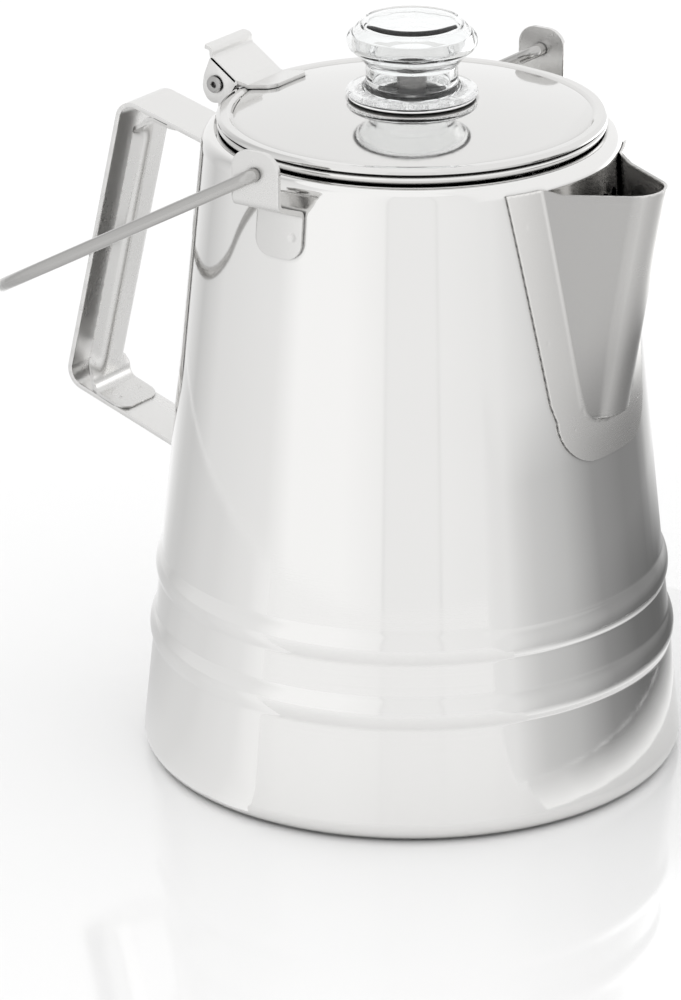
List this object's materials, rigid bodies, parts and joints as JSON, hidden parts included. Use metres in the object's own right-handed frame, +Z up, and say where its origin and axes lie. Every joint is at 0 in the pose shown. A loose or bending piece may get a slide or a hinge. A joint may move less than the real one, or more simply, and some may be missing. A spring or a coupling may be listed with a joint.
{
  "type": "camp coffee percolator",
  "caption": "Stove-top camp percolator: tapered steel pot with a folded spout, swinging bail, side handle, hinged lid, clear glass knob, pump tube and coffee basket.",
  "frame": {"origin": "centre of the pot's base, on the surface it stands on", "axes": "+Z up, +X towards the spout, -X towards the side handle and the lid's hinge"},
  "size_m": [0.2139, 0.1674, 0.233],
  "materials": {
    "pot_steel": "polished",
    "base_steel": "brushed",
    "spout_steel": "polished",
    "fitting_steel": "polished",
    "pin_steel": "polished",
    "lid_steel": "polished",
    "glass": "clear",
    "collar_steel": "satin",
    "seal_silicone": "matt",
    "wire_steel": "polished",
    "pump_aluminium": "satin",
    "basket_steel": "satin"
  },
  "bodies": {
    "pot": {"pot_wall": "pot_steel", "pot_pan": "pot_steel", "pot_rim": "pot_steel", "base_disc": "base_steel", "spout": "spout_steel", "ear_left": "fitting_steel", "ear_right": "fitting_steel", "handle_strap": "fitting_steel", "handle_grip": "fitting_steel", "hinge_bracket": "fitting_steel", "hinge_pin": "pin_steel"},
    "lid": {"lid_shell": "lid_steel", "lid_skirt": "lid_steel", "lid_lever": "fitting_steel"},
    "knob": {"glass_knob": "glass", "knob_collar": "collar_steel", "knob_seal": "seal_silicone"},
    "bail": {"bail_wire": "wire_steel"},
    "pump": {"stem_tube": "pump_aluminium", "pump_foot": "pump_aluminium", "stem_collar": "pump_aluminium"},
    "basket": {"basket": "basket_steel"},
    "spreader": {"basket_lid": "basket_steel"}
  },
  "joints": [
    {"name": "lid_hinge", "type": "hinge", "parent": "pot", "child": "lid", "pos_m": [-0.0653, 0, 0.2041], "axis": [0, -1, 0], "range_deg": [0, 105]},
    {"name": "knob_twist", "type": "hinge", "parent": "lid", "child": "knob", "pos_m": [0, 0, 0.2041], "axis": [0, 0, 1], "range_deg": [0, 90]},
    {"name": "bail_swing", "type": "hinge", "parent": "pot", "child": "bail", "pos_m": [-0.0028, 0, 0.2043], "axis": [0, 1, 0], "range_deg": [0, 262]},
    {"name": "pump_lift", "type": "slide", "parent": "pot", "child": "pump", "axis": [0, 0, 1], "range_m": [0, 0.006]},
    {"name": "basket_lift", "type": "slide", "parent": "pump", "child": "basket", "axis": [0, 0, 1], "range_m": [0, 0.006]},
    {"name": "spreader_lift", "type": "slide", "parent": "basket", "child": "spreader", "axis": [0, 0, 1], "range_m": [0, 0.004]}
  ]
}
